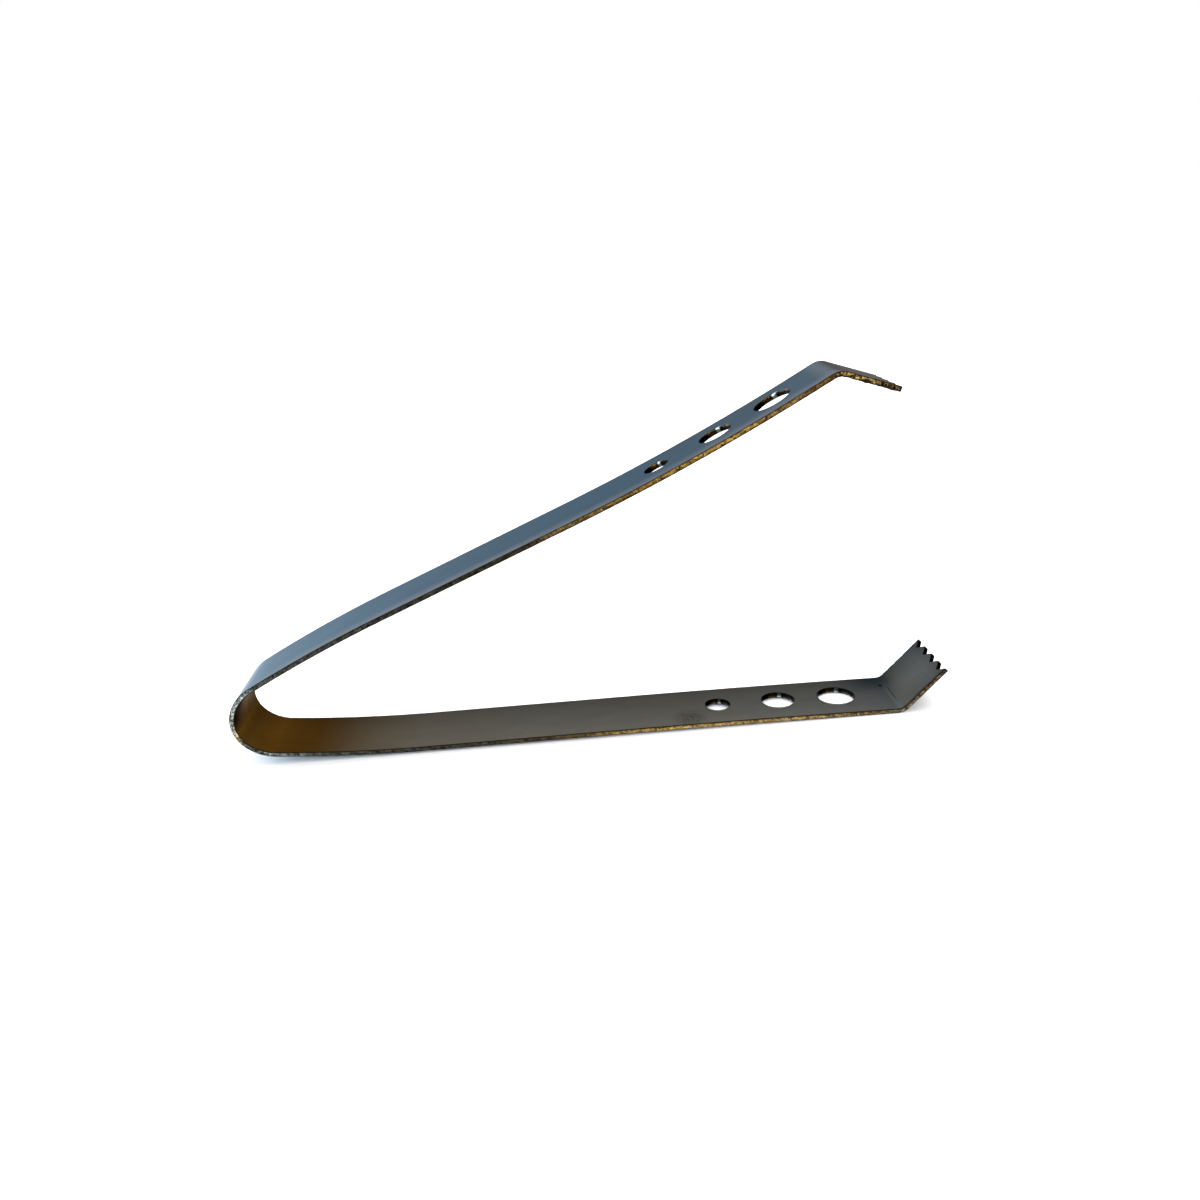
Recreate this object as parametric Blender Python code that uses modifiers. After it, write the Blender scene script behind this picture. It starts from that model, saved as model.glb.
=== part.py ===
"""Spring tongs, bent from one strip of sheet steel, in metres with +Z up.

The strip's mid-line lies in the XZ plane and its width runs along Y. It makes a round bow at -X,
two arms that stand apart in a V, and a toothed claw, bent inwards, at the +X end of each arm.
The tongs lie on the lower arm, whose straight stretch is level. The origin is the centre of the
bottom of the bounding box. The strip flexes on each side of the bow, so there is a joint there,
and the bow, each arm and each claw is a solid of its own.
"""

import math

import bmesh
import bpy
from mathutils import Matrix, Vector

# The strip
WIDTH = 0.018
THICKNESS = 0.0012

# Each arm's mid-line from the middle of the bow to the teeth: metres, and degrees turned inwards
BOW_RADIUS = 0.0078
BOW_TURN = 35.0
SHOULDER_RADIUS = 0.0105
SHOULDER_TURN = 38.0
SPRING_LENGTH = 0.035
SPRING_TURN = 5.75
STRAIGHT_LENGTH = 0.048
FLARE_LENGTH = 0.0653
UPPER_FLARE_TURN = -6.5
LOWER_FLARE_TURN = -1.0
CLAW_BEND_LENGTH = 0.0030
UPPER_CLAW_TURN = 47.6
LOWER_CLAW_TURN = 46.0
CLAW_LENGTH = 0.0125

# Holes along each arm, as (distance from the middle of the bow, diameter)
HOLES = ((0.118, 0.006), (0.133, 0.008), (0.1475, 0.009))
HOLE_SIDES = 48

# Teeth: V notches across the end of each claw
NOTCHES = 4
NOTCH_DEPTH = 0.0017
TOOTH_FLAT = 0.0004

# Where the strip is divided, as distances from the middle of the bow, and the gap left there
JOINT_AT = 0.021
CLAW_AT = 0.1598
GAP = 0.0003

# Facets on the curved stretches
FACET_TURN = 3.0
FACET_LENGTH = 0.008

CUTTER_DEPTH = 0.006
STEEL_COLOUR = (0.30, 0.32, 0.33, 1.0)
STEEL_ROUGHNESS = 0.38

UPPER, LOWER = 1, -1


def clear_scene():
    for old in list(bpy.data.objects):
        bpy.data.objects.remove(old, do_unlink=True)


def new_collection(name):
    made = bpy.data.collections.new(name)
    bpy.context.scene.collection.children.link(made)
    return made


def steel():
    """Plain rolled steel, the one material of the whole strip."""
    material = bpy.data.materials.new("strip_steel")
    material.use_nodes = True
    shader = material.node_tree.nodes["Principled BSDF"]
    shader.inputs["Base Color"].default_value = STEEL_COLOUR
    shader.inputs["Metallic"].default_value = 1.0
    shader.inputs["Roughness"].default_value = STEEL_ROUGHNESS
    return material


def arm_stretches(side):
    """(length, degrees turned inwards) of each stretch of one arm, in order from the bow."""
    flare_turn = UPPER_FLARE_TURN if side == UPPER else LOWER_FLARE_TURN
    claw_turn = UPPER_CLAW_TURN if side == UPPER else LOWER_CLAW_TURN
    return [
        (BOW_RADIUS * math.radians(BOW_TURN), BOW_TURN),
        (SHOULDER_RADIUS * math.radians(SHOULDER_TURN), SHOULDER_TURN),
        (SPRING_LENGTH, SPRING_TURN),
        (STRAIGHT_LENGTH, 0.0),
        (FLARE_LENGTH, flare_turn),
        (CLAW_BEND_LENGTH, claw_turn),
        (CLAW_LENGTH, 0.0),
    ]


def arc_end(x, z, heading, length, turn):
    """(x, z, heading) at the end of an arc that turns clockwise by turn, in radians."""
    if abs(turn) < 1e-9:
        return x + length * math.cos(heading), z + length * math.sin(heading), heading
    radius = length / turn
    end = heading - turn
    return (
        x + radius * (math.sin(heading) - math.sin(end)),
        z + radius * (math.cos(end) - math.cos(heading)),
        end,
    )


def unplaced_station(side, distance):
    """(x, z, heading) on the mid-line, from the middle of the bow, with the V's axis along X."""
    x, z, heading = 0.0, 0.0, math.radians(90)
    for length, turn in arm_stretches(side):
        part = min(max(distance, 0.0), length)
        x, z, heading = arc_end(x, z, heading, part, math.radians(turn) * part / length)
        distance -= length
    return x, side * z, side * heading


def stations(side, start, end):
    """Distances from start to end where the mid-line gets a point: finer where it curves."""
    marks = [start]
    begin = 0.0
    for length, turn in arm_stretches(side):
        steps = max(math.ceil(abs(turn) / FACET_TURN - 1e-6), 1)
        if turn:
            steps = max(steps, math.ceil(length / FACET_LENGTH))
        marks += [begin + length * i / steps for i in range(steps + 1)]
        begin += length
    inside = sorted({round(m, 7) for m in marks if start < m < end})
    return [start, *inside, end]


def arm_length(side):
    return sum(length for length, _ in arm_stretches(side))


# The lower arm's straight stretch starts where its curved stretches end, and is laid level
STRAIGHT_AT = sum(length for length, _ in arm_stretches(LOWER)[:3])
LEVEL = -unplaced_station(LOWER, STRAIGHT_AT)[2]


def levelled_station(side, distance):
    x, z, heading = unplaced_station(side, distance)
    turned = Matrix.Rotation(LEVEL, 2) @ Vector((x, z))
    return turned.x, turned.y, heading + LEVEL


def lowest_and_highest():
    """Corners, in X and Z, of the box round both faces of the levelled strip."""
    xs, zs = [], []
    for side in (UPPER, LOWER):
        for distance in stations(side, 0.0, arm_length(side)):
            x, z, heading = levelled_station(side, distance)
            for half in (-THICKNESS / 2, THICKNESS / 2):
                xs.append(x - half * math.sin(heading))
                zs.append(z + half * math.cos(heading))
    return min(xs), min(zs), max(xs), max(zs)


BOX = lowest_and_highest()
ORIGIN_X = (BOX[0] + BOX[2]) / 2
ORIGIN_Z = BOX[1]


def station(side, distance):
    """(x, z, heading) on the mid-line of the finished tongs."""
    x, z, heading = levelled_station(side, distance)
    return x - ORIGIN_X, z - ORIGIN_Z, heading


def frame_at(side, distance):
    """The strip's own axes there: X along it towards the teeth, Y across it, Z out of its face."""
    x, z, heading = station(side, distance)
    return Matrix.Translation((x, 0, z)) @ Matrix.Rotation(-heading, 4, "Y")


def mesh_from_curve(name, outline, matrix, extrude, closed, collection):
    """A mesh object from a flat curve: a filled slab if closed, and a bare ribbon if not."""
    curve = bpy.data.curves.new(name, "CURVE")
    curve.dimensions = "2D"
    curve.fill_mode = "BOTH" if closed else "NONE"
    curve.extrude = extrude
    spline = curve.splines.new("POLY")
    spline.points.add(len(outline) - 1)
    for point, (u, v) in zip(spline.points, outline):
        point.co = (u, v, 0, 1)
    spline.use_cyclic_u = closed
    guide = bpy.data.objects.new(name + "_guide", curve)
    collection.objects.link(guide)
    guide.matrix_world = matrix
    bpy.context.view_layer.update()
    evaluated = guide.evaluated_get(bpy.context.evaluated_depsgraph_get())
    mesh = bpy.data.meshes.new_from_object(evaluated)
    bpy.data.objects.remove(guide)
    bpy.data.curves.remove(curve)
    made = bpy.data.objects.new(name, mesh)
    collection.objects.link(made)
    made.matrix_world = matrix
    return made


def weld(obj):
    """Joins a filled curve's loose caps to its sides, with every face pointing out."""
    shape = bmesh.new()
    shape.from_mesh(obj.data)
    bmesh.ops.remove_doubles(shape, verts=shape.verts, dist=1e-6)
    bmesh.ops.recalc_face_normals(shape, faces=shape.faces)
    shape.to_mesh(obj.data)
    shape.free()


def strip(name, midline, joint, material, collection):
    """One length of the strip: a ribbon through the mid-line, thickened, with its origin on joint."""
    # a curve's own XY plane becomes the XZ plane, so that its extrusion runs along Y
    upright = Matrix.Rotation(math.radians(90), 4, "X")
    made = mesh_from_curve(name, midline, upright, WIDTH / 2, False, collection)
    made.data.transform(joint.matrix_world.inverted() @ upright)
    made.parent = joint
    made.matrix_parent_inverse = Matrix.Identity(4)
    made.matrix_basis = Matrix.Identity(4)
    weld(made)
    thicken = made.modifiers.new("thickness", "SOLIDIFY")
    thicken.thickness = THICKNESS
    thicken.offset = 0
    thicken.use_even_offset = True
    made.data.materials.append(material)
    made.data.shade_smooth()
    made.data.set_sharp_from_angle(angle=math.radians(30))
    return made


def midline_points(side, start, end):
    return [station(side, distance)[:2] for distance in stations(side, start, end)]


def cut(target, cutter):
    """Takes cutter away from target, and hides it."""
    cutter.hide_render = True
    cutter.display_type = "WIRE"
    boolean = target.modifiers.new("cut_" + cutter.name, "BOOLEAN")
    boolean.operation = "DIFFERENCE"
    boolean.object = cutter


def drill_holes(arm, side, cutters):
    for number, (distance, diameter) in enumerate(HOLES, 1):
        bpy.ops.mesh.primitive_cylinder_add(
            vertices=HOLE_SIDES, radius=diameter / 2, depth=CUTTER_DEPTH
        )
        drill = bpy.context.object
        drill.name = f"{arm.name}_drill_{number}"
        drill.matrix_world = frame_at(side, distance)
        for old in list(drill.users_collection):
            old.objects.unlink(drill)
        cutters.objects.link(drill)
        cut(arm, drill)


def notch_teeth(claw, side, cutters):
    """Cuts the V notches that leave the teeth, with half a tooth at each edge of the strip."""
    pitch = WIDTH / NOTCHES
    half_mouth = (pitch - TOOTH_FLAT) / 2
    overrun = 1.5  # the cutter runs past the end of the claw by half the notch's depth again
    for number in range(1, NOTCHES + 1):
        across = (number - 0.5) * pitch - WIDTH / 2
        outline = [
            (-NOTCH_DEPTH, across),
            (NOTCH_DEPTH * (overrun - 1), across - half_mouth * overrun),
            (NOTCH_DEPTH * (overrun - 1), across + half_mouth * overrun),
        ]
        end = frame_at(side, arm_length(side))
        name = f"{claw.name}_notch_{number}"
        wedge = mesh_from_curve(name, outline, end, CUTTER_DEPTH / 2, True, cutters)
        weld(wedge)
        cut(claw, wedge)


def joint_empty(name, parent, side, collection):
    """An empty on a joint's axis, which runs along Y through the middle of the strip."""
    empty = bpy.data.objects.new(name, None)
    empty.empty_display_size = WIDTH / 2
    collection.objects.link(empty)
    empty.parent = parent
    x, z, _ = station(side, JOINT_AT)
    bpy.context.view_layer.update()
    empty.matrix_world = Matrix.Translation((x, 0, z))
    bpy.context.view_layer.update()
    return empty


def main():
    clear_scene()
    tongs = new_collection("spring_tongs")
    cutters = new_collection("cutters")
    material = steel()

    root = bpy.data.objects.new("tongs_root", None)
    tongs.objects.link(root)
    lower_joint = joint_empty("lower_flex_axis", root, LOWER, tongs)
    upper_joint = joint_empty("upper_flex_axis", lower_joint, UPPER, tongs)

    bow_end = JOINT_AT - GAP / 2
    upper_half = midline_points(UPPER, 0.0, bow_end)
    lower_half = midline_points(LOWER, 0.0, bow_end)
    strip("spring_bow", lower_half[::-1] + upper_half[1:], lower_joint, material, tongs)

    for label, side, holder in (("upper", UPPER, upper_joint), ("lower", LOWER, root)):
        arm_line = midline_points(side, JOINT_AT + GAP / 2, CLAW_AT - GAP / 2)
        arm = strip(label + "_arm", arm_line, holder, material, tongs)
        drill_holes(arm, side, cutters)
        claw_line = midline_points(side, CLAW_AT + GAP / 2, arm_length(side))
        claw = strip(label + "_claw", claw_line, holder, material, tongs)
        notch_teeth(claw, side, cutters)


main()
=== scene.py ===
"""Looks for the spring tongs: one strip of rolled steel, bent into a bow, two arms and two toothed claws.

The strip is made flat, with its holes, teeth, sheared walls and rolled-over rims, and is then bent along
the same path as the CAD solids. Its materials are painted in the strip's own flat axes, so that they
stay with the steel when the bow flexes.
"""

import math
from itertools import pairwise

import bmesh
import bpy
import numpy as np
from mathutils import Matrix, Vector, noise


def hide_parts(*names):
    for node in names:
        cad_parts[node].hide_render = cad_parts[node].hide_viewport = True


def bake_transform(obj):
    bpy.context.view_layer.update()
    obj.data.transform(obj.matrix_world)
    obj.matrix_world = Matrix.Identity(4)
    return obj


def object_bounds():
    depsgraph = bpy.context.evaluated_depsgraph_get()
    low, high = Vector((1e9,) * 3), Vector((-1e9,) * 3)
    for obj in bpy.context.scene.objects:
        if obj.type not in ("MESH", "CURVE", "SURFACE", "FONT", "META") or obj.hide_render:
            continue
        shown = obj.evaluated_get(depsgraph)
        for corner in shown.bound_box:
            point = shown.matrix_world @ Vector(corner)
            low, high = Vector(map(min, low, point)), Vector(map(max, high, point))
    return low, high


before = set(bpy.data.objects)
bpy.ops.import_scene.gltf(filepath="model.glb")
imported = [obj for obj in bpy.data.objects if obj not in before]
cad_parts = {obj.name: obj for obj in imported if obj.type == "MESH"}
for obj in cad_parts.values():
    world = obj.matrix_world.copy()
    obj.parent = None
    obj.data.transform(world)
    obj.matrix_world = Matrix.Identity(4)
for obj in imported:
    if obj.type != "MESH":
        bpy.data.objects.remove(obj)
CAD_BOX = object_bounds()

# Camera: metres and degrees
CAMERA_AT = Vector((-0.003560, -0.221517, 0.114736))
CAMERA_AIM = Vector((0.003472, 0.000048, 0.031791))
CAMERA_ROLL = -3.958
CAMERA_LENS = 30.074

# The strip and its path, as in the CAD model: metres, and degrees turned inwards
WIDTH = 0.018
THICKNESS = 0.0012
BOW_RADIUS = 0.0078
BOW_TURN = 35.0
SHOULDER_RADIUS = 0.0105
SHOULDER_TURN = 38.0
SPRING_LENGTH = 0.035
SPRING_TURN = 5.75
STRAIGHT_LENGTH = 0.048
FLARE_LENGTH = 0.0653
UPPER_FLARE_TURN = -6.5
LOWER_FLARE_TURN = -1.0
CLAW_BEND_LENGTH = 0.0030
UPPER_CLAW_TURN = 47.6
LOWER_CLAW_TURN = 46.0
CLAW_LENGTH = 0.0125
HOLES = ((0.118, 0.006), (0.133, 0.008), (0.1475, 0.009))
NOTCHES = 4
NOTCH_DEPTH = 0.0017

# The mesh: spacing of its lines along the strip, and the finish of its cut edges
STATION_LENGTH = 0.00075
STATION_TURN = 2.5
HOLE_RINGS = ((0.0, 0.0), (0.35, 0.0), (0.68, 0.0), (1.0, 0.00042), (1.0, 0.00022), (1.0, 0.0))
TOOTH_ROWS = (
    (0.0, 0.0), (0.055, 0.06), (0.27, 0.52), (0.465, 0.97), (0.535, 0.97), (0.73, 0.52), (0.945, 0.06),
)
RIM_RADIUS = 0.00013
RIM_ANGLE = 1.2
EDGE_ROUGHNESS_DEPTH = 0.00004
HOLE_BURR_HEIGHT = 0.00020
EDGE_BURR_HEIGHT = 0.00005
CLAW_BURR_HEIGHT = 0.00022
CLAW_BURR_FROM = 0.001
EDGE_BURR_FROM = 0.0088
SAME_PLACE = 1e-7
SAME_RING = 1e-5

UPPER, LOWER = 1, -1


# ---------------------------------------------------------------- camera

def add_camera():
    camera = bpy.data.objects.new("camera", bpy.data.cameras.new("camera"))
    bpy.context.scene.collection.objects.link(camera)
    camera.data.sensor_width = 36
    camera.data.lens = CAMERA_LENS
    camera.data.clip_start = 0.01
    aim = (CAMERA_AIM - CAMERA_AT).to_track_quat("-Z", "Y").to_matrix().to_4x4()
    roll = Matrix.Rotation(math.radians(CAMERA_ROLL), 4, "Z")
    camera.matrix_world = Matrix.Translation(CAMERA_AT) @ aim @ roll
    bpy.context.scene.camera = camera


# ---------------------------------------------------------------- the strip's path

def arm_stretches(side):
    """(length, degrees turned inwards) of each stretch of one arm, in order from the bow."""
    flare_turn = UPPER_FLARE_TURN if side == UPPER else LOWER_FLARE_TURN
    claw_turn = UPPER_CLAW_TURN if side == UPPER else LOWER_CLAW_TURN
    return [
        (BOW_RADIUS * math.radians(BOW_TURN), BOW_TURN),
        (SHOULDER_RADIUS * math.radians(SHOULDER_TURN), SHOULDER_TURN),
        (SPRING_LENGTH, SPRING_TURN),
        (STRAIGHT_LENGTH, 0.0),
        (FLARE_LENGTH, flare_turn),
        (CLAW_BEND_LENGTH, claw_turn),
        (CLAW_LENGTH, 0.0),
    ]


ARM_LENGTH = sum(length for length, _ in arm_stretches(UPPER))
CLAW_AT = ARM_LENGTH - CLAW_LENGTH


def arc_end(x, z, heading, length, turn):
    """(x, z, heading) at the end of an arc that turns clockwise by turn, in radians."""
    if abs(turn) < 1e-9:
        return x + length * math.cos(heading), z + length * math.sin(heading), heading
    radius = length / turn
    end = heading - turn
    return (
        x + radius * (math.sin(heading) - math.sin(end)),
        z + radius * (math.cos(end) - math.cos(heading)),
        end,
    )


def unplaced_station(side, distance):
    """(x, z, heading) on the mid-line, from the middle of the bow, with the V's axis along X."""
    x, z, heading = 0.0, 0.0, math.radians(90)
    for length, turn in arm_stretches(side):
        part = min(max(distance, 0.0), length)
        x, z, heading = arc_end(x, z, heading, part, math.radians(turn) * part / length)
        distance -= length
    return x, side * z, side * heading


# The lower arm's straight stretch starts where its curved stretches end, and is laid level
LEVEL = -unplaced_station(LOWER, sum(length for length, _ in arm_stretches(LOWER)[:3]))[2]


def bend(along):
    """The strip's own axes where the flat strip's coordinate is along: negative on the lower arm."""
    side = UPPER if along >= 0 else LOWER
    x, z, heading = unplaced_station(side, abs(along))
    if side == LOWER:
        heading += math.pi
    turn = Matrix.Rotation(LEVEL, 2)
    heading += LEVEL
    tangent = np.array((math.cos(heading), 0.0, math.sin(heading)))
    outward = np.array((-math.sin(heading), 0.0, math.cos(heading)))
    middle = turn @ Vector((x, z))
    return np.array((middle.x, 0.0, middle.y)), tangent, outward


# ---------------------------------------------------------------- the flat strip

def spaced(start, end, step):
    count = max(round((end - start) / step), 1)
    return [start + (end - start) * i / count for i in range(count + 1)]


def joined(*runs):
    """Runs that meet end to end, as one list."""
    whole = list(runs[0])
    for run in runs[1:]:
        whole += run[1:]
    return whole


def arm_stations(end):
    """Distances from the middle of the bow to end, closer together where the strip curves."""
    runs = []
    begin = 0.0
    for length, turn in arm_stretches(UPPER):
        stop = min(begin + length, end)
        if stop - begin > SAME_PLACE:
            step = STATION_LENGTH
            if turn:
                step = min(step, length * STATION_TURN / abs(turn))
            runs.append(spaced(begin, stop, step))
        begin += length
    return joined(*runs)


def row_lines():
    """Places across the strip, with how deep the teeth are cut at each."""
    pitch = WIDTH / NOTCHES
    lines = [
        (-WIDTH / 2 + pitch * (tooth + part), NOTCH_DEPTH * depth)
        for tooth in range(NOTCHES)
        for part, depth in TOOTH_ROWS
    ]
    return [*lines, (WIDTH / 2, 0.0)]


def hole_loops(start, end, across, middle, radius):
    """Closed loops from a rectangle of the grid down to the round hole in it."""
    columns = spaced(start, end, STATION_LENGTH)
    frame_loop = [(u, across[0]) for u in columns]
    frame_loop += [(end, y) for y in across[1:]]
    frame_loop += [(u, across[-1]) for u in reversed(columns[:-1])]
    frame_loop += [(start, y) for y in reversed(across[1:-1])]
    frame_loop.append(frame_loop[0])
    loops = []
    for part, margin in HOLE_RINGS:
        loop = []
        for u, y in frame_loop:
            angle = math.atan2(y, u - middle)
            rim_u = middle + (radius + margin) * math.cos(angle)
            rim_y = (radius + margin) * math.sin(angle)
            loop.append((u + (rim_u - u) * part, y + (rim_y - y) * part))
        loops.append(loop)
    return loops


def flat_patches():
    """One arm's flat sheet, as grids of (along, across) points."""
    lines = row_lines()
    across = [y for y, _ in lines]
    middles = [middle for middle, _ in HOLES]
    limits = [(a + b) / 2 for a, b in pairwise(middles)]
    first = middles[0] - (limits[0] - middles[0])
    last = middles[-1] + (middles[-1] - limits[-1])
    limits = [first, *limits, last]
    for (start, end), (middle, diameter) in zip(pairwise(limits), HOLES):
        yield hole_loops(start, end, across, middle, diameter / 2)
    yield [[(u, y) for y in across] for u in arm_stations(first)]
    beyond = [last, *(u for u in arm_stations(CLAW_AT) if u > last + STATION_LENGTH / 2)]
    yield [[(u, y) for y in across] for u in beyond]
    claw_parts = spaced(0.0, 1.0, STATION_LENGTH / CLAW_LENGTH)
    yield [[(CLAW_AT + (CLAW_LENGTH - cut) * part, y) for y, cut in lines] for part in claw_parts]


def flat_solid():
    """The whole strip as a flat closed solid: X along it, Y across it, and its outer face at +Z."""
    shape = bmesh.new()
    known = {}

    def point(u, y):
        key = (round(u, 7), round(y, 7))
        if key not in known:
            known[key] = shape.verts.new((u, y, -THICKNESS / 2))
        return known[key]

    for patch in flat_patches():
        for side in (UPPER, LOWER):
            for first, second in pairwise(patch):
                for corners in zip(first, first[1:], second[1:], second):
                    shape.faces.new([point(side * u, y) for u, y in corners])
    bmesh.ops.recalc_face_normals(shape, faces=shape.faces)
    raised = bmesh.ops.extrude_face_region(shape, geom=shape.faces[:], use_keep_orig=True)["geom"]
    moved = [v for v in raised if isinstance(v, bmesh.types.BMVert)]
    bmesh.ops.translate(shape, verts=moved, vec=(0, 0, THICKNESS))
    bmesh.ops.recalc_face_normals(shape, faces=shape.faces)
    return shape


def finish_edges(shape):
    """Divides the sheared walls into rows, and rolls their rims over."""
    upright = [e for e in shape.edges if abs(e.verts[0].co.z - e.verts[1].co.z) > THICKNESS / 2]
    bmesh.ops.subdivide_edges(shape, edges=upright, cuts=2, use_grid_fill=True)
    rims = [
        e for e in shape.edges
        if abs(e.calc_face_angle(0.0)) > RIM_ANGLE
        and abs(abs(e.verts[0].co.z) - THICKNESS / 2) < SAME_PLACE
        and abs(e.verts[0].co.z - e.verts[1].co.z) < SAME_PLACE
    ]
    bmesh.ops.bevel(
        shape, geom=rims, offset=RIM_RADIUS, offset_type="OFFSET", segments=2, profile=0.5,
        affect="EDGES", clamp_overlap=False,
    )
    bmesh.ops.recalc_face_normals(shape, faces=shape.faces)


def is_level(normal):
    """Whether a normal belongs to one of the flat strip's two rolled faces."""
    return abs(normal.z) > 0.99


def flat_normal(vert):
    """A normal that keeps the faces flat and the sheared walls smooth, and rounds the rim between them."""
    faces = [f for f in vert.link_faces if is_level(f.normal)]
    walls = [f for f in vert.link_faces if abs(f.normal.z) < 0.01]
    if faces:
        return Vector((0, 0, math.copysign(1, faces[0].normal.z)))
    total = Vector()
    for f in walls or vert.link_faces:
        total += f.normal
    return total.normalized()


def half_of(whole, side):
    """The half of the flat solid on one side of the middle of the bow, closed there by a cap."""
    shape = whole.copy()
    away = [f for f in shape.faces if side * f.calc_center_median().x < 0]
    bmesh.ops.delete(shape, geom=away, context="FACES")
    open_edges = [e for e in shape.edges if e.is_boundary]
    bmesh.ops.contextual_create(shape, geom=open_edges)
    bmesh.ops.recalc_face_normals(shape, faces=shape.faces)
    return shape


def ragged(place, normal):
    """How far a sheared wall is eaten away at a place on the flat strip: never outwards."""
    if is_level(normal):
        return 0.0
    at = place * 1000
    coarse = noise.noise(Vector((at.x * 0.9, at.y * 0.9, at.z * 0.6)))
    fine = noise.noise(Vector((at.x * 3.1, at.y * 3.1, at.z * 1.5 + 7.0)))
    return EDGE_ROUGHNESS_DEPTH * min(max(0.5 + 0.6 * coarse + 0.5 * fine, 0.0), 1.0)


def burr(place):
    """How far the metal is moved toward the strip's inner side, as a height: burrs that the punch and the
    shear dragged out of the inner face, and edges that the shear pressed into the outer one."""
    if place.z > -THICKNESS / 4:
        if place.z > THICKNESS / 4 and abs(place.y) > EDGE_BURR_FROM:
            return -EDGE_BURR_HEIGHT * max(noise.noise(Vector((place.x * 1400, place.y * 100, 3.0))), 0.0)
        return 0.0
    for middle, diameter in HOLES:
        away = math.hypot(abs(place.x) - middle, place.y) - diameter / 2
        if away < HOLE_RINGS[-3][1] - SAME_RING:
            return -HOLE_BURR_HEIGHT if away < HOLE_RINGS[-2][1] + SAME_RING else 0.0
    if abs(place.y) > EDGE_BURR_FROM:
        height = CLAW_BURR_HEIGHT if abs(place.x) > CLAW_AT - CLAW_BURR_FROM else EDGE_BURR_HEIGHT
        return -height * max(0.35 + noise.noise(Vector((place.x * 1700, place.y * 100, 9.0))), 0.0)
    return 0.0


def bent_piece(name, shape, shift, materials):
    """Bends a flat half strip along its path. It keeps its flat coordinates and normals as attributes."""
    shape.verts.ensure_lookup_table()
    normals = [flat_normal(v) for v in shape.verts]
    flat = [v.co.copy() for v in shape.verts]
    bent_normals = []
    for vert, normal, place in zip(shape.verts, normals, flat):
        # the seam at the middle of the bow stays exact
        at_seam = abs(place.x) <= SAME_PLACE
        sideways = Vector((normal.x, normal.y, 0.0))
        if sideways.length > 1e-6 and not at_seam:
            vert.co -= sideways.normalized() * ragged(place, normal)
        middle, tangent, outward = bend(vert.co.x)
        height = vert.co.z + (0.0 if at_seam else burr(place))
        vert.co = Vector(middle + outward * height + shift) + Vector((0, vert.co.y, 0))
        bent_normals.append(tangent * normal.x + np.array((0, normal.y, 0)) + outward * normal.z)
    for face in shape.faces:
        face.smooth = True
    mesh = bpy.data.meshes.new(name)
    shape.normal_update()
    shape.to_mesh(mesh)
    for attribute, vectors in (("strip", flat), ("facing", normals)):
        store = mesh.attributes.new(attribute, "FLOAT_VECTOR", "POINT")
        store.data.foreach_set("vector", np.array(vectors, dtype=np.float32).ravel())
    for material in materials:
        mesh.materials.append(material)
    mesh.normals_split_custom_set_from_vertices([tuple(n) for n in bent_normals])
    made = bpy.data.objects.new(name, mesh)
    bpy.context.scene.collection.objects.link(made)
    return made


def mark_walls(shape):
    """Gives the sheared walls and their rims the second material."""
    for face in shape.faces:
        face.material_index = 0 if is_level(face.normal) else 1


def placement():
    """Moves the path so that the strip's box starts where the CAD model's does."""
    lowest_x, lowest_z = [], []
    for side in (UPPER, LOWER):
        for distance in arm_stations(ARM_LENGTH):
            middle, _, outward = bend(side * distance)
            for half in (-THICKNESS / 2, THICKNESS / 2):
                lowest_x.append(middle[0] + outward[0] * half)
                lowest_z.append(middle[2] + outward[2] * half)
    return np.array((CAD_BOX[0][0] - min(lowest_x), 0.0, CAD_BOX[0][2] - min(lowest_z)))


# ---------------------------------------------------------------- materials

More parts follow.
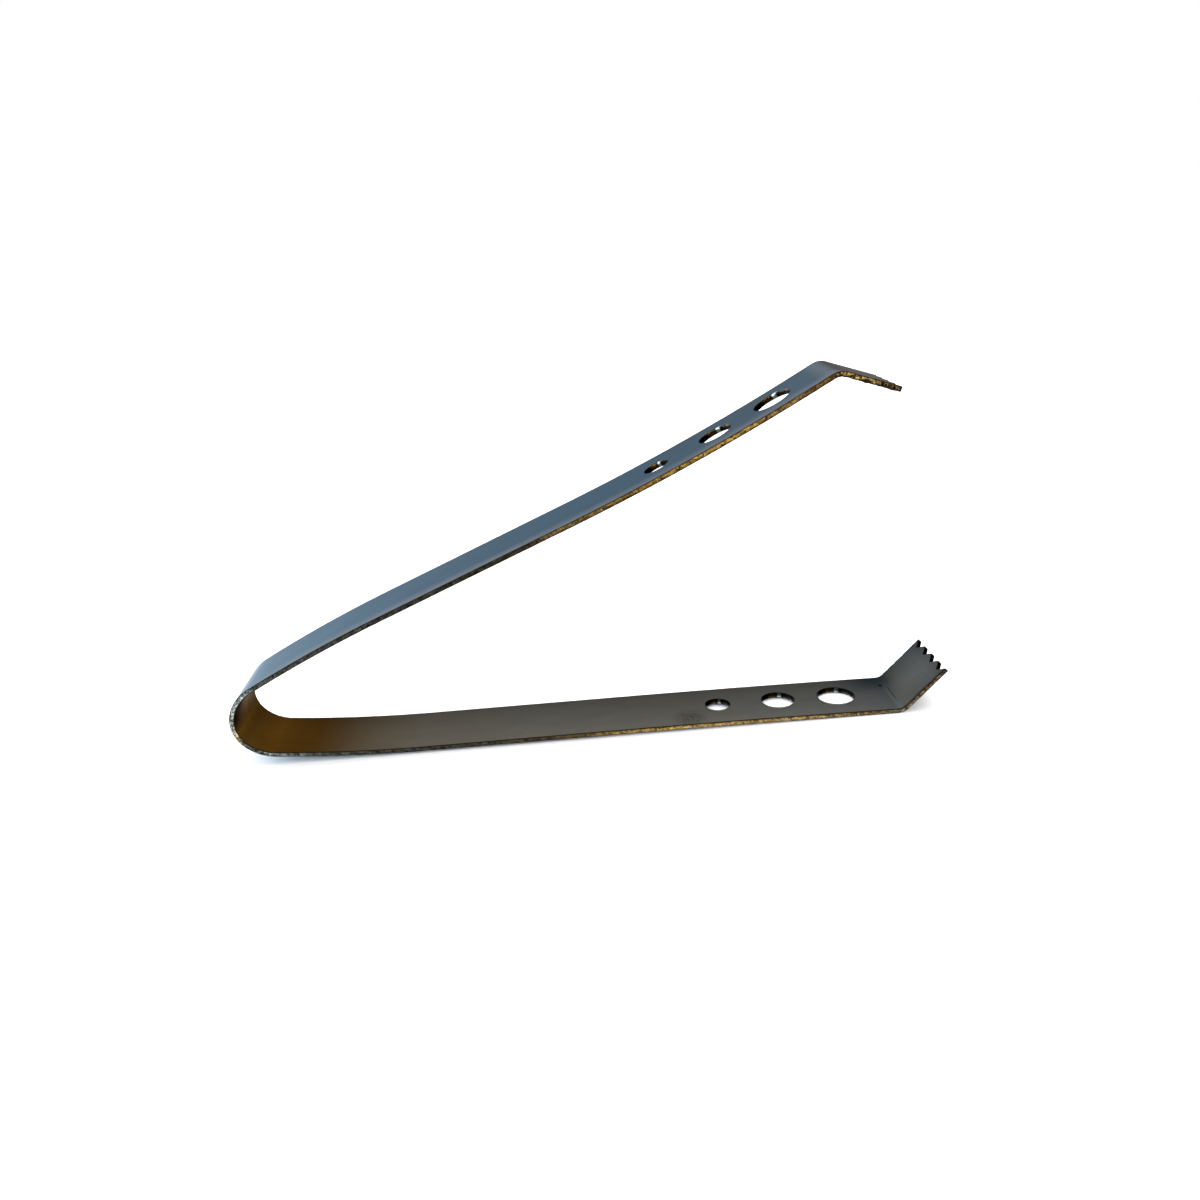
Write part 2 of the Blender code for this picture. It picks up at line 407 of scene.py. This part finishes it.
class Shading:
    """One node tree. Any input may be a number, a colour or another node's output."""

    def __init__(self, owner):
        owner.use_nodes = True
        self.nodes = owner.node_tree.nodes
        self.links = owner.node_tree.links
        self.nodes.clear()

    def node(self, kind, inputs, output=0, **settings):
        made = self.nodes.new(kind)
        for key, value in settings.items():
            setattr(made, key, value)
        for key, value in inputs.items():
            if isinstance(value, bpy.types.NodeSocket):
                self.links.new(value, made.inputs[key])
            else:
                made.inputs[key].default_value = value
        return made.outputs[output] if made.outputs else made

    def math(self, operation, a, b=0.0):
        return self.node("ShaderNodeMath", {0: a, 1: b}, operation=operation)

    def product(self, *factors):
        total = factors[0]
        for factor in factors[1:]:
            total = self.math("MULTIPLY", total, factor)
        return total

    def remap(self, value, low, high, to_low=0.0, to_high=1.0, smooth=True):
        kind = "SMOOTHSTEP" if smooth else "LINEAR"
        inputs = {0: value, 1: low, 2: high, 3: to_low, 4: to_high}
        return self.node("ShaderNodeMapRange", inputs, interpolation_type=kind)

    def mix(self, amount, a, b):
        """Colour a where amount is 0, and colour b where it is 1."""
        return self.node("ShaderNodeMix", {0: amount, 6: a, 7: b}, output=2, data_type="RGBA")

    def gain(self, colour, factor):
        """A colour times a number."""
        return self.node("ShaderNodeVectorMath", {0: colour, "Scale": factor}, operation="SCALE")

    def ramp(self, value, stops):
        """Colours along a value from 0 to 1; stops are (place, (red, green, blue))."""
        made = self.nodes.new("ShaderNodeValToRGB")
        elements = made.color_ramp.elements
        while len(elements) < len(stops):
            elements.new(0.5)
        for element, (place, colour) in zip(elements, stops):
            element.position = place
            element.color = (*colour, 1.0)
        self.links.new(value, made.inputs[0])
        return made.outputs[0]

    def stretched(self, vector, x, y, z):
        return self.node("ShaderNodeVectorMath", {0: vector, 1: (x, y, z)}, operation="MULTIPLY")

    def noise(self, vector, detail=3.0, roughness=0.5):
        inputs = {"Vector": vector, "Scale": 1.0, "Detail": detail, "Roughness": roughness}
        return self.node("ShaderNodeTexNoise", inputs)

    def attribute(self, name):
        return self.node("ShaderNodeAttribute", {}, output=1, attribute_name=name)

    def parts(self, vector):
        """A vector's X, Y and Z."""
        made = self.nodes.new("ShaderNodeSeparateXYZ")
        self.links.new(vector, made.inputs[0])
        return made.outputs[0], made.outputs[1], made.outputs[2]

    def measure(self, operation, vector, other):
        """A number from two vectors: their DISTANCE or their DOT_PRODUCT."""
        return self.node("ShaderNodeVectorMath", {0: vector, 1: other}, output=1, operation=operation)

    def strip_axes(self):
        """The strip's flat coordinates in millimetres: a vector, and its three parts."""
        vector = self.stretched(self.attribute("strip"), 1000.0, 1000.0, 1000.0)
        return vector, *self.parts(vector)

    def along_strip(self, place, stops):
        """Colours along each arm; stops are (millimetres from the middle of the bow, colour)."""
        return self.ramp(place, [(millimetres / (ARM_LENGTH * 1000), colour) for millimetres, colour in stops])

    def bump(self, height, distance, strength=1.0):
        return self.node("ShaderNodeBump", {"Height": height, "Distance": distance, "Strength": strength})

    def metal(self, colour, roughness, normal, grazing):
        """A metallic surface, sent to the material's output. Its low-angle reflection is dimmed by grazing."""
        inputs = {
            "Base Color": colour, "Metallic": 1.0, "Roughness": roughness, "Normal": normal,
            "Specular Tint": grazing,
        }
        shader = self.node("ShaderNodeBsdfPrincipled", inputs)
        self.node("ShaderNodeOutputMaterial", {0: shader})


# How much of a clean mirror's reflection the metal keeps at a low angle
FACE_GRAZING = (0.5, 0.49, 0.48, 1.0)
EDGE_GRAZING = (0.5, 0.5, 0.5, 1.0)

# Marks on the lower arm's inner face, in the strip's flat millimetres, and the depth of the rolling grain
NICK_AT = (-160.0, 4.1, -0.6)
GRIME_AT = (-110.5, -5.6, -0.5)
GRAIN_DEPTH = 0.000003

# Colour of the rolled faces, from the middle of the bow to the teeth, in millimetres: painted reflection
# and shade matched along the strip, with a painted highlight outside round the middle of the bow and at
# each claw's bend, and painted shade deep inside the bow
OUTER_STOPS = (
    (0, (0.50, 0.70, 0.86)), (9, (0.52, 0.70, 0.88)), (12.5, (0.33, 0.54, 0.74)),
    (16, (0.27, 0.455, 0.635)), (28, (0.248, 0.435, 0.605)), (45, (0.243, 0.41, 0.58)),
    (65, (0.205, 0.345, 0.48)), (85, (0.180, 0.305, 0.42)), (115, (0.155, 0.275, 0.385)),
    (140, (0.170, 0.260, 0.350)), (157, (0.182, 0.280, 0.372)), (160, (0.33, 0.41, 0.47)),
    (162, (0.11, 0.09, 0.09)), (163.5, (0.036, 0.018, 0.008)), (169, (0.050, 0.028, 0.012)),
    (175, (0.042, 0.024, 0.010)),
)
INNER_STOPS = (
    (0, (0.042, 0.020, 0.003)), (2, (0.058, 0.027, 0.004)), (5, (0.140, 0.066, 0.011)),
    (8, (0.144, 0.064, 0.009)), (11, (0.168, 0.076, 0.0107)), (15, (0.135, 0.061, 0.009)),
    (20, (0.115, 0.054, 0.009)), (26, (0.122, 0.075, 0.035)), (34, (0.16, 0.126, 0.083)),
    (45, (0.18, 0.155, 0.123)), (70, (0.164, 0.154, 0.128)), (100, (0.146, 0.138, 0.117)),
    (140, (0.141, 0.138, 0.123)), (153, (0.125, 0.125, 0.118)), (160.5, (0.105, 0.112, 0.113)),
    (163, (0.158, 0.165, 0.147)), (169, (0.168, 0.175, 0.168)), (172, (0.168, 0.173, 0.172)),
    (175, (0.125, 0.130, 0.128)),
)


def rolled_steel():
    """The strip's two rolled faces: blue-grey outside, and warm grey inside with amber in the bow, with
    painted reflection and shade along the strip.
    """
    material = bpy.data.materials.new("rolled_steel")
    s = Shading(material)
    vector, along, across, out = s.strip_axes()
    millimetres = s.math("ABSOLUTE", along)
    distance = s.math("DIVIDE", millimetres, ARM_LENGTH * 1000)
    outer = s.along_strip(distance, OUTER_STOPS)
    inner = s.along_strip(distance, INNER_STOPS)
    # painted shade across the inner face: darker towards the far side, and on the claws towards the near side
    inner = s.gain(inner, s.remap(across, -9.0, 9.0, 1.50, 0.73, smooth=False))
    on_claw = s.remap(millimetres, 161.0, 167.0)
    inner = s.mix(on_claw, inner, s.gain(inner, s.remap(across, -9.0, 8.0, 0.70, 1.65, smooth=False)))

    # painted shade: the far corner inside each claw's bend is painted dark, and so is the near side in the bow
    before = s.remap(millimetres, 147.0, 160.0)
    beyond = s.remap(millimetres, 160.0, 165.0, 0.90, 0.38)
    corner = s.product(before, beyond, s.remap(across, -2.0, 8.5))
    inner = s.mix(corner, inner, (0.022, 0.036, 0.043, 1.0))
    bow_hollow_shade = s.product(s.remap(along, -1.5, 2.0), s.remap(across, -9.0, 5.0, 0.92, 0.0))
    inner = s.mix(bow_hollow_shade, inner, (0.006, 0.003, 0.0005, 1.0))

    # the upper arm's inner face is a little warmer than the lower one's
    inner = s.mix(s.remap(along, 1.0, 4.0), inner, s.stretched(inner, 1.0, 0.95, 0.9))

    # painted shade along the bend's crease, and a nick beside it
    wander = s.noise(s.stretched(vector, 0.0, 0.9, 0.0), detail=4.0)
    crease_shade = s.math("ABSOLUTE", s.math("SUBTRACT", millimetres, s.math("ADD", 161.1, wander)))
    crease_shade = s.remap(crease_shade, 0.05, 0.22, 1.0, 0.0)
    crease_shade = s.product(crease_shade, s.remap(across, -6.0, -2.0), s.remap(across, 1.0, 4.0, 0.8, 0.0))
    inner = s.mix(crease_shade, inner, (0.008, 0.009, 0.008, 1.0))
    nick = s.measure("DISTANCE", vector, NICK_AT)
    inner = s.mix(s.remap(nick, 0.35, 0.65, 1.0, 0.0), inner, (0.004, 0.004, 0.004, 1.0))

    # painted highlight: the outer face is painted pale along its front edge, where the rolled rim catches
    # light
    rim_highlight = s.product(
        s.remap(across, -4.0, -8.8, 0.0, 0.78),
        s.remap(millimetres, 10.0, 34.0, 0.55, 1.0),
        s.remap(millimetres, 160.0, 163.0, 1.0, 0.0),
    )
    rim_highlight_colour = s.mix(s.remap(millimetres, 40.0, 125.0), (0.54, 0.61, 0.68, 1.0), (0.42, 0.47, 0.52, 1.0))
    outer = s.mix(rim_highlight, outer, rim_highlight_colour)
    colour = s.mix(s.math("GREATER_THAN", out, 0.0), inner, outer)

    # mottling, the rolling grain, small pits, smudges, specks and a patch of grime
    mottle = s.noise(s.stretched(vector, 0.10, 0.28, 1.0), detail=5.0, roughness=0.6)
    grain = s.noise(s.stretched(vector, 0.9, 9.0, 1.0), detail=3.0, roughness=0.6)
    pits = s.noise(s.stretched(vector, 2.6, 3.4, 1.0), detail=3.0, roughness=0.7)
    smudge = s.noise(s.stretched(vector, 0.16, 0.22, 2.0), detail=5.0, roughness=0.65)
    smudge = s.remap(smudge, 0.60, 0.72)
    grime = s.remap(s.measure("DISTANCE", vector, GRIME_AT), 1.0, 5.5, 1.0, 0.0)
    grime = s.product(grime, s.remap(pits, 0.42, 0.62))
    speck = s.remap(s.noise(s.stretched(vector, 1.7, 2.4, 1.0), detail=2.0), 0.74, 0.80)
    shade = s.product(
        s.remap(mottle, 0.3, 0.7, 0.94, 1.06, smooth=False),
        s.remap(grain, 0.3, 0.7, 0.975, 1.025, smooth=False),
        s.remap(pits, 0.3, 0.7, 0.96, 1.04, smooth=False),
    )
    for spot, depth in ((smudge, 0.12), (speck, 0.35), (grime, 0.75)):
        shade = s.product(shade, s.math("SUBTRACT", 1.0, s.product(spot, depth)))
    roughness = s.remap(grain, 0.3, 0.7, 0.33, 0.40, smooth=False)
    roughness = s.math("ADD", roughness, s.product(smudge, 0.06))
    relief = s.remap(millimetres, 159.0, 162.0, 0.5, 0.1)
    s.metal(s.gain(colour, shade), roughness, s.bump(grain, GRAIN_DEPTH, relief), FACE_GRAZING)
    return material


# Colour of the sheared edges, from the middle of the bow to the teeth, in millimetres: their own colour with
# painted reflection matched along the strip, and a painted glint on the lower edge near the middle of the bow
UPPER_EDGE_STOPS = (
    (0, (0.31, 0.33, 0.28)), (5, (0.23, 0.285, 0.26)), (9, (0.27, 0.34, 0.33)),
    (13, (0.055, 0.068, 0.060)), (20, (0.052, 0.057, 0.051)), (32, (0.043, 0.047, 0.041)),
    (50, (0.032, 0.035, 0.029)), (70, (0.024, 0.024, 0.017)), (84, (0.030, 0.025, 0.015)),
    (94, (0.13, 0.087, 0.032)), (112, (0.170, 0.098, 0.021)), (137, (0.33, 0.198, 0.047)),
    (155, (0.137, 0.084, 0.029)), (161.5, (0.115, 0.066, 0.017)), (165.5, (0.34, 0.24, 0.078)),
    (170, (0.115, 0.073, 0.024)), (175, (0.06, 0.045, 0.025)),
)
LOWER_EDGE_STOPS = (
    (0, (0.38, 0.37, 0.28)), (1.8, (0.60, 0.55, 0.34)), (2.8, (0.46, 0.36, 0.12)),
    (3.6, (0.055, 0.062, 0.052)), (7, (0.072, 0.081, 0.074)), (11, (0.18, 0.197, 0.19)),
    (15, (0.155, 0.168, 0.155)), (22, (0.075, 0.080, 0.066)), (32, (0.058, 0.062, 0.050)),
    (50, (0.045, 0.047, 0.036)), (70, (0.052, 0.047, 0.031)), (84, (0.095, 0.068, 0.027)),
    (93, (0.24, 0.155, 0.046)), (112, (0.36, 0.235, 0.076)), (137, (0.26, 0.178, 0.068)),
    (155, (0.13, 0.093, 0.045)), (161, (0.125, 0.110, 0.07)), (165, (0.095, 0.075, 0.047)),
    (171, (0.078, 0.058, 0.029)), (175, (0.05, 0.045, 0.04)),
)

# How bright the edges are where they are not gold
EDGE_SHEEN = 0.86

# Painted reflection on a punched hole's wall, with a white and a gold painted glint, from where it faces the
# bow to where it faces the teeth
HOLE_WALL_PAINTED_LIGHT = (
    (0.0, (0.26, 0.27, 0.26)), (0.16, (0.12, 0.125, 0.115)), (0.24, (0.022, 0.024, 0.020)),
    (0.29, (0.022, 0.024, 0.020)), (0.32, (0.80, 0.92, 0.90)), (0.39, (0.80, 0.92, 0.90)),
    (0.42, (0.03, 0.03, 0.02)), (0.50, (0.12, 0.085, 0.025)), (0.58, (0.20, 0.13, 0.035)),
    (0.66, (0.10, 0.06, 0.018)), (0.74, (0.006, 0.005, 0.004)), (1.0, (0.002, 0.002, 0.002)),
)


def sheared_edge():
    """The strip's sheared edges, punched holes and tooth flanks: coarse, torn and discoloured, with painted
    reflection, glints and shade.
    """
    material = bpy.data.materials.new("sheared_edge")
    s = Shading(material)
    vector, along, across, out = s.strip_axes()
    millimetres = s.math("ABSOLUTE", along)
    distance = s.math("DIVIDE", millimetres, ARM_LENGTH * 1000)
    upper = s.along_strip(distance, UPPER_EDGE_STOPS)
    lower = s.along_strip(distance, LOWER_EDGE_STOPS)
    on_upper = s.math("GREATER_THAN", along, 0.0)
    colour = s.mix(on_upper, lower, upper)

    # lumps and tears, boldest round the bow and on the claws
    lumps = s.noise(s.stretched(vector, 0.8, 0.8, 1.4), detail=5.0, roughness=0.7)
    torn = s.noise(s.stretched(vector, 3.4, 3.4, 2.2), detail=3.0, roughness=0.65)
    blocks = s.noise(s.stretched(vector, 1.7, 1.7, 1.3), detail=2.0, roughness=0.6)
    bold = s.remap(millimetres, 8.0, 13.0, 0.60, 0.15)
    bold = s.math("ADD", bold, s.remap(along, 159.0, 162.0, 0.0, 0.45))
    bold = s.math("ADD", bold, s.remap(millimetres, 159.0, 162.0, 0.0, 0.35))
    colour = s.gain(colour, s.remap(lumps, 0.36, 0.64, 0.30, 1.85, smooth=False))
    colour = s.gain(colour, s.remap(torn, 0.38, 0.50, 0.12, 1.0))
    colour = s.mix(bold, colour, s.gain(colour, s.remap(blocks, 0.42, 0.58, 0.10, 2.0)))

    # toward the claws the gold catches more light near the outer face; the rims carry a painted dark
    # reflection
    gold = s.remap(millimetres, 84.0, 96.0)
    sheen = s.remap(s.math("ADD", out, s.product(lumps, 0.5)), -0.30, 0.50, 0.50, 1.15)
    sheen = s.math("ADD", s.product(gold, s.math("SUBTRACT", sheen, EDGE_SHEEN)), EDGE_SHEEN)
    colour = s.gain(colour, sheen)
    rim = s.math("MAXIMUM", s.remap(out, 0.34, 0.50), s.remap(out, -0.28, -0.44))
    colour = s.mix(rim, colour, (0.026, 0.017, 0.010, 1.0))

    # the punched holes' walls, painted darker on the lower arm as painted shade, and the black flanks of the
    # teeth
    towards_teeth = s.product(s.parts(s.attribute("facing"))[0], s.math("SIGN", along))
    punched = s.ramp(s.product(s.math("ADD", towards_teeth, 1.0), 0.5), HOLE_WALL_PAINTED_LIGHT)
    punched = s.gain(punched, s.remap(torn, 0.3, 0.7, 0.6, 1.4, smooth=False))
    # painted shade: below a ragged line across each wall, its painted reflection and glint are painted dark
    painted_light_limit = s.math("SUBTRACT", out, s.product(blocks, 1.2))
    punched = s.gain(punched, s.remap(painted_light_limit, -0.50, -0.36, 0.08, 1.0))
    punched = s.gain(punched, s.remap(on_upper, 0.0, 1.0, 0.40, 1.0, smooth=False))
    inside = s.remap(s.math("ABSOLUTE", across), 8.2, 8.5, 1.0, 0.0)
    colour = s.mix(inside, colour, punched)
    # painted shade: the tooth flanks that face away from the bow are painted black
    flank_shade = s.product(s.remap(millimetres, 172.0, 172.6), s.remap(towards_teeth, 0.3, 0.5))
    colour = s.mix(flank_shade, colour, (0.006, 0.006, 0.005, 1.0))

    height = s.math("ADD", s.product(lumps, 0.6), s.product(torn, 0.4))
    depth = s.remap(inside, 0.0, 1.0, 0.00014, 0.00002, smooth=False)
    roughness = s.remap(torn, 0.3, 0.7, 0.34, 0.52, smooth=False)
    roughness = s.math("SUBTRACT", roughness, s.product(inside, 0.12))
    s.metal(colour, roughness, s.bump(height, depth, 0.9), EDGE_GRAZING)
    return material


# ---------------------------------------------------------------- studio

FLOOR_SIZE = 12.0
FLOOR_COLOUR = (0.90, 0.90, 0.90, 1.0)

# What the room shows to the camera, to matt surfaces and to polished steel (by height, and to the front)
ROOM_SEEN = (1.0, 1.0, 1.0, 1.0)
ROOM_ON_MATT = (1.75, 1.75, 1.75, 1.0)
ROOM_ON_STEEL = (
    (0.0, (0.50, 0.52, 0.54)), (0.35, (0.40, 0.42, 0.45)), (0.7, (0.44, 0.46, 0.48)), (1.0, (0.5, 0.5, 0.5)),
)
BRIGHT_FRONT = (-0.80, -0.60, 0.0)
BRIGHT_FRONT_COLOUR = (1.1, 1.12, 1.1, 1.0)
DARK_FRONT = (0.65, -0.76, 0.0)
DARK_FRONT_COLOUR = (0.10, 0.085, 0.06, 1.0)

OVERHEAD_AT = Vector((0.1, 0.25, 0.9))


def add_floor():
    material = bpy.data.materials.new("pale_floor")
    s = Shading(material)
    surface = s.node("ShaderNodeBsdfDiffuse", {"Color": FLOOR_COLOUR})
    s.node("ShaderNodeOutputMaterial", {0: surface})
    bpy.ops.mesh.primitive_plane_add(size=FLOOR_SIZE, location=(0, 0, CAD_BOX[0][2]))
    floor = bpy.context.object
    floor.name = "floor"
    floor.data.materials.append(material)


def add_world():
    """A white room. Steel sees it as a soft gradient, bright at the front left and dark at the front right."""
    world = bpy.data.worlds.new("studio")
    bpy.context.scene.world = world
    s = Shading(world)
    direction = s.node("ShaderNodeTexCoord", {}, output=0)
    height = s.parts(direction)[2]
    reflected = s.ramp(s.remap(height, -0.1, 1.0, smooth=False), ROOM_ON_STEEL)
    bright = s.remap(s.measure("DOT_PRODUCT", direction, BRIGHT_FRONT), 0.55, 0.9)
    dark = s.remap(s.measure("DOT_PRODUCT", direction, DARK_FRONT), 0.3, 0.8)
    reflected = s.mix(bright, reflected, BRIGHT_FRONT_COLOUR)
    reflected = s.mix(dark, reflected, DARK_FRONT_COLOUR)
    ray = s.nodes.new("ShaderNodeLightPath")
    colour = s.mix(ray.outputs["Is Diffuse Ray"], ROOM_SEEN, ROOM_ON_MATT)
    colour = s.mix(ray.outputs["Is Glossy Ray"], colour, reflected)
    background = s.node("ShaderNodeBackground", {"Color": colour, "Strength": 1.0})
    s.node("ShaderNodeOutputWorld", {0: background})


def add_overhead_light():
    data = bpy.data.lights.new("overhead", "AREA")
    data.shape = "DISK"
    data.size = 0.8
    data.energy = 4.0
    lamp = bpy.data.objects.new("overhead", data)
    bpy.context.scene.collection.objects.link(lamp)
    lamp.location = OVERHEAD_AT
    lamp.rotation_euler = (-OVERHEAD_AT).to_track_quat("-Z", "Y").to_euler()


def main():
    add_camera()
    steel = rolled_steel()
    edge = sheared_edge()
    whole = flat_solid()
    finish_edges(whole)
    mark_walls(whole)
    shift = placement()
    upper = bent_piece("upper_strip", half_of(whole, UPPER), shift, (steel, edge))
    lower = bent_piece("lower_strip", half_of(whole, LOWER), shift, (steel, edge))
    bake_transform(upper)
    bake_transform(lower)
    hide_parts("upper_arm", "upper_claw", "spring_bow")
    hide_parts("lower_arm", "lower_claw", "spring_bow")

    add_floor()
    add_world()
    add_overhead_light()
    bpy.context.scene.view_settings.view_transform = "Standard"


main()
